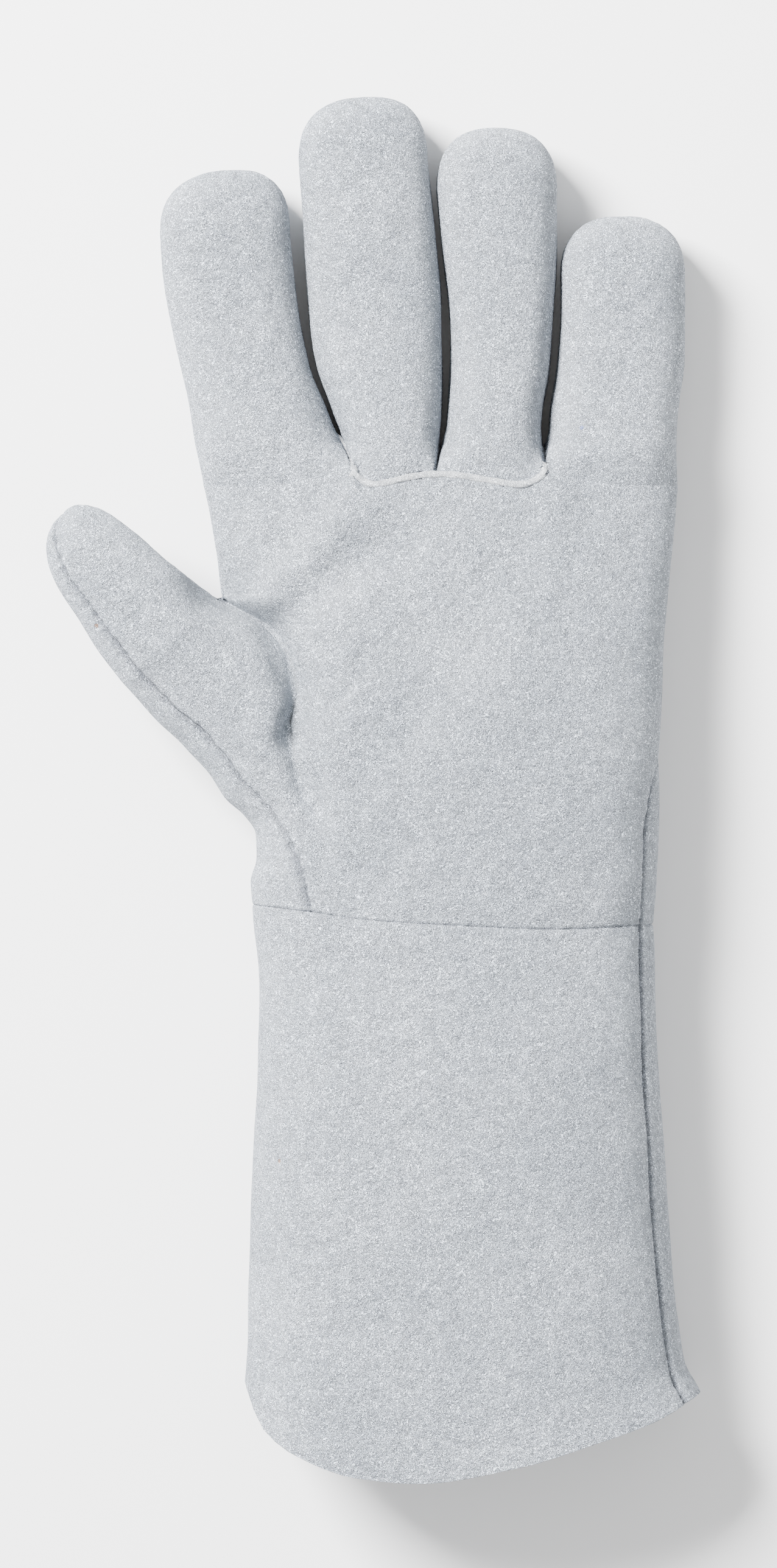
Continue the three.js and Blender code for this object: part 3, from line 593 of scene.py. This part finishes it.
panels = {}
for key, grid in number.items():
    rows, columns = grid.shape[0] - 1, grid.shape[1] - 1
    quads = np.stack([grid[:-1, :-1], grid[:-1, 1:], grid[1:, 1:], grid[1:, :-1]], -1)
    if key[1] == "back":
        quads = quads[..., ::-1]
    for row in range(rows):
        start = 0
        names = [panel_of(key, row, column, columns) for column in (0, columns - 1)]
        split = columns - STRIP_COLUMNS if names[0] != names[1] else columns
        panels.setdefault(names[0], []).append(quads[row, :split])
        if split < columns:
            panels.setdefault(names[1], []).append(quads[row, split:])
panels = {name: np.concatenate(parts) for name, parts in panels.items()}
for name, quads in panels.items():
    print("panel", name, len(quads), "cells")


def vertex_normals(points, quads):
    """The outward direction at each vertex: the sum of its cells' areas, by cross products."""
    area = np.cross(points[quads[:, 2]] - points[quads[:, 0]], points[quads[:, 3]] - points[quads[:, 1]])
    total = np.zeros_like(points)
    for corner in range(4):
        np.add.at(total, quads[:, corner], area)
    return total / np.maximum(np.linalg.norm(total, axis=1, keepdims=True), 1e-12)


every_quad = np.concatenate(list(panels.values()))
normals = vertex_normals(vertices, every_quad)

# %% [markdown]
# ## Seams
# Each seam is a line of vertices. Beside it the leather rolls in over a small radius, and the thread draws
# it into a pucker at every stitch.

# %% Seam lines
web = number["middle", "front"][BASE_ROW : WEB_ROW + 1, 0][::-1]
across_middle = number["middle", "front"][BASE_ROW, 1:]
across_ring = number["ring", "front"][BASE_ROW, 1:-1]
ring_side = number["ring", "front"][BASE_ROW : BASE_ROW + 7, -1]
welt_line = np.concatenate([web, across_middle, across_ring, ring_side])

seams = {
    "welt": welt_line,
    "wrist": number["cuff", "all"][0],
    "thumb_outer": number["thumb", "front"][:, 0],
    "thumb_inner": number["thumb", "front"][FORK_ROW:, -1],
    "palm_left": number["index", "front"][FORK_ROW:, 0],
    "index_right": number["index", "front"][WEB_ROW:, -1],
    "middle_left": number["middle", "front"][WEB_ROW:, 0],
    "middle_right": number["middle", "front"][BASE_ROW:, -1],
    "ring_right": number["ring", "front"][BASE_ROW + 6 :, -1],
    "little_left": number["little", "front"][WEB_ROW:, 0],
    "little_right": number["little", "front"][:, -1],
    "cuff_side": number["cuff", "all"][:, 0],
    "strip_cuff": number["cuff", "all"][:, -1 - STRIP_COLUMNS],
    "strip_hand": number["little", "back"][: STRIP_ROW + 1, -1 - STRIP_COLUMNS],
}
seams["ring_left"] = number["ring", "front"][WEB_ROW:, 0]

# Roll radius, roll depth and pucker depth of each seam, in millimetres
ROLL = {name: (1.1, 0.85, 0.22) for name in seams}
ROLL["welt"] = (0.9, 0.45, 0.12)
ROLL["wrist"] = (1.0, 0.7, 0.2)
ROLL["thumb_outer"] = (1.15, 0.95, 0.5)
ROLL["cuff_side"] = (1.3, 1.2, 0.15)
ROLL["strip_cuff"] = ROLL["strip_hand"] = (1.0, 0.7, 0.1)
STITCH = 3.4


def along(line, step=0.4):
    """Points a step apart along a line of points, with their distance from its start."""
    reach = np.concatenate([[0], np.cumsum(np.linalg.norm(np.diff(line, axis=0), axis=1))])
    at = np.linspace(0, reach[-1], max(2, int(reach[-1] / step) + 1))
    return np.stack([np.interp(at, reach, line[:, k]) for k in range(3)], -1), at


def nearest(points, targets):
    """For each point the number of the nearest target, and its distance."""
    tree = kdtree.KDTree(len(targets))
    for i, target in enumerate(targets):
        tree.insert(target, i)
    tree.balance()
    found = [tree.find(point) for point in points]
    return np.array([hit[1] for hit in found]), np.array([hit[2] for hit in found])


def roll_depth(distance, radius, depth):
    """How deep the leather's rolled edge lies: depth (1 - sqrt(1 - (1 - d/r)^2)) within the radius r."""
    inside = np.clip(1 - distance / radius, 0, 1)
    return depth * (1 - np.sqrt(np.maximum(0, 1 - inside**2)))


sunk = np.zeros(len(vertices))
for name, line in seams.items():
    radius, depth, pucker = ROLL[name]
    points, reach = along(vertices[line])
    low, high = points.min(0) - 8, points.max(0) + 8
    close = np.flatnonzero(((vertices > low) & (vertices < high)).all(1))
    which, distance = nearest(vertices[close], points)
    wander = 1.3 * np.sin(reach[which] * 0.21 + len(name)) + 0.6 * np.sin(reach[which] * 0.67)
    wave = 0.5 - 0.5 * np.cos(2 * math.pi * (reach[which] + wander) / STITCH)
    drawn = pucker * wave * np.exp(-((distance / 2.2) ** 2)) + 0.35 * np.exp(-((distance / 5) ** 2))
    sunk[close] = np.maximum(sunk[close], roll_depth(distance, radius, depth) + drawn)
print("deepest seam", sunk.max().round(2), "mm")

# %% [markdown]
# ## Soft creases and unevenness
# Fine creases are bells across a stroke, like the folds of the palm. The unevenness of the leather is a
# sum of a few slow sine waves.

# %% Creases
# From x, from y, to x, to y, width and height, in millimetres, on the front
STROKES = table(
    "from_x from_y to_x to_y width height",
    (-47, -60, -46, -128, 2.8, -1.5),
    (-43.5, -60, -42.5, -128, 3.2, 0.6),
    (-33, 12, -36, 32, 3.6, -1.8),
    (-36, 26, -41, 46, 3.2, -2.4),
    (-41, 46, -39, 60, 3.0, -2.8),
    (-41, 60, -47, 73, 3.2, -3.0),
    (-43, 78, -17, 100, 4.0, -1.6),
    (-36, 72, -8, 96, 5.0, 1.2),
    (-24, 29, 6, 80, 8.0, -1.5),
    (-14, 24, 18, 78, 8.0, 1.2),
    (8, 88, 30, 105, 6.0, -0.8),
    (-31, 54, -24, 62, 1.6, -0.8),
    (-33, 66, -18, 74, 3.5, 0.9),
    (35, 100, 37, 128, 3.2, -0.9),
    (30, 112, 38, 118, 2.4, -0.7),
    (36, 60, 34, 90, 4.5, 0.7),
    (-38, 72, -44, 108, 4.0, -0.7),
    (3, 20, 18, 30, 8.0, -0.5),
    (20, 62, 6, 40, 6.0, 0.6),
    (44, 10, 40, -2, 4.0, 0.6),
    (-60, 75, -48, 60, 3.0, -0.6),
    (10, -30, 30, -90, 14.0, 0.7),
    (42, -40, 45, -110, 9.0, -0.6),
)


def stroke_height(x, y):
    total = np.zeros(len(x))
    for from_x, from_y, to_x, to_y, width, lift in zip(*STROKES.values()):
        run = np.array([to_x - from_x, to_y - from_y])
        share = np.clip(((x - from_x) * run[0] + (y - from_y) * run[1]) / (run @ run), 0, 1)
        distance = np.hypot(x - from_x - share * run[0], y - from_y - share * run[1])
        strength = lift * np.sin(np.clip(0.25 + share, 0, 1) * math.pi * 0.8)
        total += strength * np.exp(-((distance / width) ** 2))
    return total


def waves(points, lengths, size):
    """Unevenness of a few wavelengths: for each, three sine waves in fixed random directions."""
    total = np.zeros(len(points))
    for length in lengths:
        for _ in range(3):
            direction = RANDOM.normal(size=3)
            direction /= np.linalg.norm(direction)
            phase = RANDOM.uniform(0, 2 * math.pi)
            total += np.sin(points @ direction * 2 * math.pi / length + phase) / 3
    return size * total / len(lengths)


facing = np.clip(normals[:, 2], 0, 1)
relief = -sunk
relief += facing * stroke_height(vertices[:, 0], vertices[:, 1])
relief += waves(vertices, (62, 41, 27), 0.8) + waves(vertices, (15, 9), 0.2)
away = np.clip(vertices[:, 2] / 6, 0, 1)
outer = vertices + normals * (relief * np.maximum(away, 0.1))[:, None]
outer[:, 2] = np.maximum(outer[:, 2], 0)

centre = (outer.max(0) + outer.min(0)) / 2
SHIFT = np.array([-centre[0], -centre[1], -outer[:, 2].min()])
print("moved into the frame by", SHIFT.round(2))


# %% [markdown]
# ## Mesh pieces
# A panel becomes a closed mesh: its outer surface, the same surface one leather thickness further in, and
# a rim round its edge.


# %% Mesh making
def make_piece(name, points, quads, smooth=True, attributes=None):
    """A mesh object from points in millimetres and quads of their numbers. Folded quads become triangles."""
    mesh = bpy.data.meshes.new(name)
    faces = []
    for quad in quads.tolist():
        kept = [v for i, v in enumerate(quad) if v != quad[i - 1]]
        if len(set(kept)) == len(kept) and len(kept) > 2:
            faces.append(kept)
    mesh.from_pydata(((points + SHIFT) / 1000).tolist(), [], faces)
    mesh.validate()
    mesh.update()
    mesh.polygons.foreach_set("use_smooth", [smooth] * len(mesh.polygons))
    for key, values in (attributes or {}).items():
        layer = mesh.attributes.new(key, "FLOAT", "POINT")
        layer.data.foreach_set("value", np.asarray(values, np.float32))
    piece = bpy.data.objects.new(name, mesh)
    bpy.context.scene.collection.objects.link(piece)
    return piece


def boundary(quads):
    """The edges that only one quad has, in that quad's own direction."""
    edges = np.concatenate([quads[:, [k, (k + 1) % 4]] for k in range(4)])
    edges = edges[edges[:, 0] != edges[:, 1]]
    code = edges[:, 0] * 10_000_000 + edges[:, 1]
    back = edges[:, 1] * 10_000_000 + edges[:, 0]
    return edges[~np.isin(code, back)]


def leather(name, quads, spread=None):
    used, local = np.unique(quads, return_inverse=True)
    local = local.reshape(quads.shape)
    top = outer[used].copy()
    if spread is not None:
        top += spread(used, local)
    direction = normals[used]
    under = top - direction * WALL
    under[:, 2] = np.maximum(under[:, 2], np.minimum(WALL, top[:, 2] + WALL * 0.6))
    count = len(used)
    rim = boundary(local)
    sides = np.stack([rim[:, 1], rim[:, 0], rim[:, 0] + count, rim[:, 1] + count], -1)
    faces = np.concatenate([local, local[:, ::-1] + count, sides])
    # The depth of each vertex in its seam, kept for the material, which paints shade along the seams with it
    seam_shade_depth = np.concatenate([sunk[used], sunk[used]])
    inside = np.concatenate([np.zeros(count), np.ones(count)])
    attributes = {"seam": seam_shade_depth, "inside": inside}
    return make_piece(name, np.concatenate([top, under]), faces, attributes=attributes)


welt_points, _ = along(vertices[welt_line])


def off_the_welt(used, local):
    """Moves a panel's edge back from the welt, by half the welt at the seam and by less and less beyond."""
    which, distance = nearest(vertices[used], welt_points)
    half = WELT_THICKNESS / 2 + 0.1
    move = np.zeros((len(used), 3))
    near = distance < 8
    away = vertices[used] - welt_points[which]
    length = np.linalg.norm(away, axis=1, keepdims=True)
    direction = away / np.maximum(length, 1e-9)
    inward = np.zeros_like(direction)
    for k in range(4):
        for other in (1, 3):
            a, b = local[:, k], local[:, (k + other) % 4]
            np.add.at(inward, a, vertices[used][b] - vertices[used][a])
    inward /= np.maximum(np.linalg.norm(inward, axis=1, keepdims=True), 1e-9)
    on_line = (distance < 0.05)[:, None]
    direction = np.where(on_line, inward, direction)
    size = half * np.exp(-distance / 2.0)
    move[near] = (direction * size[:, None])[near]
    return move


pieces = {}
for name, quads in panels.items():
    beside_welt = name in ("palm_panel", "middle_finger_front", "ring_finger_front")
    pieces[name] = leather(name + "_leather", quads, off_the_welt if beside_welt else None)
    print("made", name, len(pieces[name].data.polygons), "faces")

# %% [markdown]
# ## Finger welt
# The welt is a ribbon of thin leather on edge in its seam, rounded along its top. Its loose end stands out
# of the web between the index and the middle finger.


# %% Finger welt
def welt_mesh():
    path, reach = along(vertices[welt_line], 0.5)
    smooth = path.copy()
    for _ in range(6):
        smooth[1:-1] = (smooth[:-2] + 2 * smooth[1:-1] + smooth[2:]) / 4
    path = smooth
    which, _ = nearest(path, vertices)
    up = normals[which]
    in_web = np.clip(1 - reach / 9.0, 0, 1)
    up = lerp(up, np.array([-0.25, 0.0, 1.0]), smoothstep(in_web, 0, 0.35)[:, None])
    up /= np.linalg.norm(up, axis=1, keepdims=True)
    tangent = np.gradient(path, axis=0)
    tangent /= np.linalg.norm(tangent, axis=1, keepdims=True)
    aside = np.cross(tangent, up)
    aside /= np.linalg.norm(aside, axis=1, keepdims=True)
    up = np.cross(aside, tangent)
    half = WELT_THICKNESS / 2 * (0.93 + 0.07 * np.sin(reach * 1.1))
    top = 0.25 + 0.1 * np.sin(reach * 0.8) + 3.2 * in_web**1.5
    low = -2.2 + 1.5 * in_web
    shoulder = [(-1, 0), (-1, 0.72), (-0.86, 0.9), (-0.55, 0.985)]
    profile = [*shoulder, (0, 1), *((-across, tall) for across, tall in reversed(shoulder))]
    rings = []
    for across, tall in profile:
        rings.append(path + aside * (across * half)[:, None] + up * lerp(low, top, tall)[:, None])
    grid = np.array(rings).transpose(1, 0, 2)
    rows, columns = grid.shape[:2]
    index = np.arange(rows * columns).reshape(rows, columns)
    wrapped = np.concatenate([index, index[:, :1]], 1)
    quads = np.stack([wrapped[:-1, :-1], wrapped[1:, :-1], wrapped[1:, 1:], wrapped[:-1, 1:]], -1)
    quads = quads.reshape(-1, 4)
    points = grid.reshape(-1, 3)
    caps = []
    for ring, flip in ((index[0], False), (index[-1], True)):
        for k in range(len(ring) // 2):
            quad = [ring[k], ring[k + 1], ring[-2 - k], ring[-1 - k]]
            caps.append(quad[::-1] if flip else quad)
    return points, np.concatenate([quads, np.array(caps)])


points, quads = welt_mesh()
pieces["finger_welt"] = make_piece("finger_welt_leather", points, quads)
print("welt", len(quads), "faces")

# %% [markdown]
# ## Suede
# Split leather has a short matt nap of fine, bent fibres. The pattern is made from the object's own
# coordinates in metres, so a feature of s millimetres has a scale of 1000 / s.


# %% Materials
def linear(hex_colour):
    """An sRGB hex colour as linear red, green, blue and 1."""
    parts = [int(hex_colour[i : i + 2], 16) / 255 for i in (1, 3, 5)]
    return tuple(c / 12.92 if c <= 0.04045 else ((c + 0.055) / 1.055) ** 2.4 for c in parts) + (1.0,)


def add_node(tree, kind, settings=None, links=None):
    """Adds a node, sets its properties and inputs, and links its inputs to other nodes' outputs."""
    node = tree.nodes.new(kind)
    for key, value in (settings or {}).items():
        if isinstance(key, str) and hasattr(node, key):
            setattr(node, key, value)
        else:
            node.inputs[key].default_value = value
    for key, (other, output) in (links or {}).items():
        tree.links.new(other.outputs[output], node.inputs[key])
    return node


def ramp(tree, source, output, low, high, low_colour, high_colour):
    node = add_node(tree, "ShaderNodeValToRGB", links={"Fac": (source, output)})
    node.color_ramp.elements[0].position, node.color_ramp.elements[1].position = low, high
    node.color_ramp.elements[0].color, node.color_ramp.elements[1].color = low_colour, high_colour
    return node


def math_node(tree, operation, first, second=None, value=None):
    links = {0: first} if isinstance(first, tuple) else {}
    settings = {"operation": operation}
    node = add_node(tree, "ShaderNodeMath", settings, links)
    if second is not None:
        tree.links.new(second[0].outputs[second[1]], node.inputs[1])
    if value is not None:
        node.inputs[1].default_value = value
    return node


def blend_colour(tree, kind, amount, first, second):
    """Mixes two colours. Each is a node's output or a constant, and so is the amount."""
    node = add_node(tree, "ShaderNodeMix", {"data_type": "RGBA", "blend_type": kind})
    for socket, value in ((0, amount), (6, first), (7, second)):
        if isinstance(value, tuple) and isinstance(value[0], bpy.types.Node):
            tree.links.new(value[0].outputs[value[1]], node.inputs[socket])
        else:
            node.inputs[socket].default_value = value
    return node


# Brown, dark and blue specks in the leather: how many to a metre, the radius in cells, and the colour
SPECKS = ((85.0, 0.055, "#A06A3C"), (63.0, 0.05, "#3E4148"), (74.0, 0.045, "#5A6FB0"))


def suede(name, base, shade, nap_height=0.9, specks=True):
    material = bpy.data.materials.new(name)
    material.use_nodes = True
    tree = material.node_tree
    shader = tree.nodes["Principled BSDF"]
    place = add_node(tree, "ShaderNodeTexCoord")
    coordinates = (place, "Object")
    # Mottling of the dye over a few centimetres, and over a few millimetres
    spread = {"Scale": 32.0, "Detail": 3.0, "Roughness": 0.55}
    cloud = add_node(tree, "ShaderNodeTexNoise", spread, {"Vector": coordinates})
    spread = {"Scale": 210.0, "Detail": 4.0, "Roughness": 0.65}
    fleck = add_node(tree, "ShaderNodeTexNoise", spread, {"Vector": coordinates})
    # The nap: fibres about 0.7 mm apart, bent by a slower noise
    nap = add_node(
        tree,
        "ShaderNodeTexNoise",
        {"Scale": 1100.0, "Detail": 1.5, "Roughness": 0.5, "Distortion": 2.4},
        {"Vector": coordinates},
    )
    ridge = math_node(tree, "SUBTRACT", (nap, "Fac"), value=0.5)
    ridge = math_node(tree, "ABSOLUTE", (ridge, 0))
    ridge = math_node(tree, "MULTIPLY", (ridge, 0), value=7.0)
    ridge = math_node(tree, "MINIMUM", (ridge, 0), value=1.0)
    clump = add_node(
        tree,
        "ShaderNodeTexNoise",
        {"Scale": 420.0, "Detail": 3.0, "Roughness": 0.6, "Distortion": 0.8},
        {"Vector": coordinates},
    )
    mixed = math_node(tree, "ADD", (ridge, 0), (clump, "Fac"))
    tone = ramp(tree, cloud, "Fac", 0.36, 0.66, linear(shade), linear(base))
    light = ramp(tree, fleck, "Fac", 0.3, 0.72, (0.9, 0.9, 0.905, 1), (1.04, 1.04, 1.04, 1))
    colour = blend_colour(tree, "MULTIPLY", 0.5, (tone, 0), (light, 0))
    fibre = ramp(tree, mixed, 0, 0.55, 1.5, (0.55, 0.56, 0.6, 1), (1.14, 1.14, 1.15, 1))
    colour = blend_colour(tree, "MULTIPLY", 1.0, (colour, 2), (fibre, 0))
    # Painted shade in the seams: the colour darkens with the depth of the rolled-in leather, where the seams
    # lie in shade
    seam = add_node(tree, "ShaderNodeAttribute", {"attribute_name": "seam"})
    painted_seam_shade = ramp(tree, seam, "Fac", 0.45, 1.1, (1, 1, 1, 1), (0.62, 0.62, 0.64, 1))
    colour = blend_colour(tree, "MULTIPLY", 1.0, (colour, 2), (painted_seam_shade, 0))
    if specks:
        for scale, limit, tint in SPECKS:
            settings = {"Scale": scale, "Randomness": 1.0}
            cell = add_node(tree, "ShaderNodeTexVoronoi", settings, {"Vector": coordinates})
            dot = math_node(tree, "LESS_THAN", (cell, "Distance"), value=limit)
            rare = add_node(tree, "ShaderNodeSeparateColor", links={"Color": (cell, "Color")})
            rare = math_node(tree, "GREATER_THAN", (rare, 0), value=0.93)
            dot = math_node(tree, "MULTIPLY", (dot, 0), (rare, 0))
            dot = math_node(tree, "MULTIPLY", (dot, 0), value=0.75)
            colour = blend_colour(tree, "MIX", (dot, 0), (colour, 2), linear(tint))
    tree.links.new(colour.outputs[2], shader.inputs["Base Color"])
    rough_range = {"To Min": 0.82, "To Max": 0.98}
    rough = add_node(tree, "ShaderNodeMapRange", rough_range, {"Value": (fleck, "Fac")})
    tree.links.new(rough.outputs[0], shader.inputs["Roughness"])
    nap_bump = {"Strength": 1.0, "Distance": nap_height / 1000}
    bump = add_node(tree, "ShaderNodeBump", nap_bump, {"Height": (mixed, 0)})
    fleck_bump = {"Strength": 0.6, "Distance": 0.0006}
    low_bump = add_node(tree, "ShaderNodeBump", fleck_bump, {"Height": (fleck, "Fac"), "Normal": (bump, 0)})
    tree.links.new(low_bump.outputs[0], shader.inputs["Normal"])
    shader.inputs["Specular IOR Level"].default_value = 0.2
    shader.inputs["Sheen Weight"].default_value = 0.25
    shader.inputs["Sheen Roughness"].default_value = 0.5
    return material


split_hide = suede("split_cowhide_suede", "#CCD4DD", "#BCC5CF")
split_hide["comment"] = "Chrome-tanned split cowhide with a short nap, undyed and slightly blue."
cut_hide = suede("thin_split_welt", "#CDD0D2", "#C2C6C9", nap_height=0.25, specks=False)
cut_hide["comment"] = "A thinner strip of the same split hide, with its cut edge showing."

for name, piece in pieces.items():
    piece.data.materials.append(cut_hide if name == "finger_welt" else split_hide)
    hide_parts(name)
    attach(piece, "root")

# %% [markdown]
# ## Floor, light and camera
# A pale floor, two large soft lights, and a long lens straight above the palm, as in the photograph. One
# pixel of the photograph is 0.1564 mm.

# %% Floor
PIXEL = 0.15641 / 1000
FRAME_W, FRAME_H = 1276, 2576
# The middle of the glove's outline in the photograph, in pixels
GLOVE_X, GLOVE_Y = 614.5, 1290

bpy.ops.mesh.primitive_plane_add(size=6, location=(0, 0, 0))
floor = bpy.context.object
floor.name = "floor"
paper = bpy.data.materials.new("pale_paper")
paper.use_nodes = True
paper.node_tree.nodes["Principled BSDF"].inputs["Base Color"].default_value = linear("#F4F4F4")
paper.node_tree.nodes["Principled BSDF"].inputs["Roughness"].default_value = 0.9
floor.data.materials.append(paper)

# %% Lights


def area_light(name, place, target, size, power):
    light = bpy.data.lights.new(name, "AREA")
    light.size, light.energy = size, power
    lamp = bpy.data.objects.new(name, light)
    bpy.context.scene.collection.objects.link(lamp)
    lamp.location = place
    aim = np.array(target) - np.array(place)
    pitch = math.acos(-aim[2] / np.linalg.norm(aim))
    lamp.rotation_euler = (pitch, 0, math.atan2(aim[1], aim[0]) - math.pi / 2)
    return lamp


area_light("key", (-1.0, 0.9, 1.3), (0, 0, 0), 0.7, 225)
area_light("fill", (1.2, -0.6, 1.8), (0, 0, 0), 1.8, 14)
world = bpy.data.worlds.new("studio")
world.use_nodes = True
world.node_tree.nodes["Background"].inputs["Color"].default_value = (1, 1, 1, 1)
world.node_tree.nodes["Background"].inputs["Strength"].default_value = 0.95
bpy.context.scene.world = world

# %% Camera
DISTANCE = 2.4
camera_data = bpy.data.cameras.new("camera")
camera_data.sensor_fit = "VERTICAL"
camera_data.sensor_height = 24
camera_data.lens = 24 * DISTANCE / (FRAME_H * PIXEL)
camera = bpy.data.objects.new("camera", camera_data)
bpy.context.scene.collection.objects.link(camera)
aside, up = FRAME_W / 2 - GLOVE_X, GLOVE_Y - FRAME_H / 2
camera.location = (aside * PIXEL, up * PIXEL, DISTANCE + 0.02)
bpy.context.scene.camera = camera

# %% Finish
low, high = cad_box
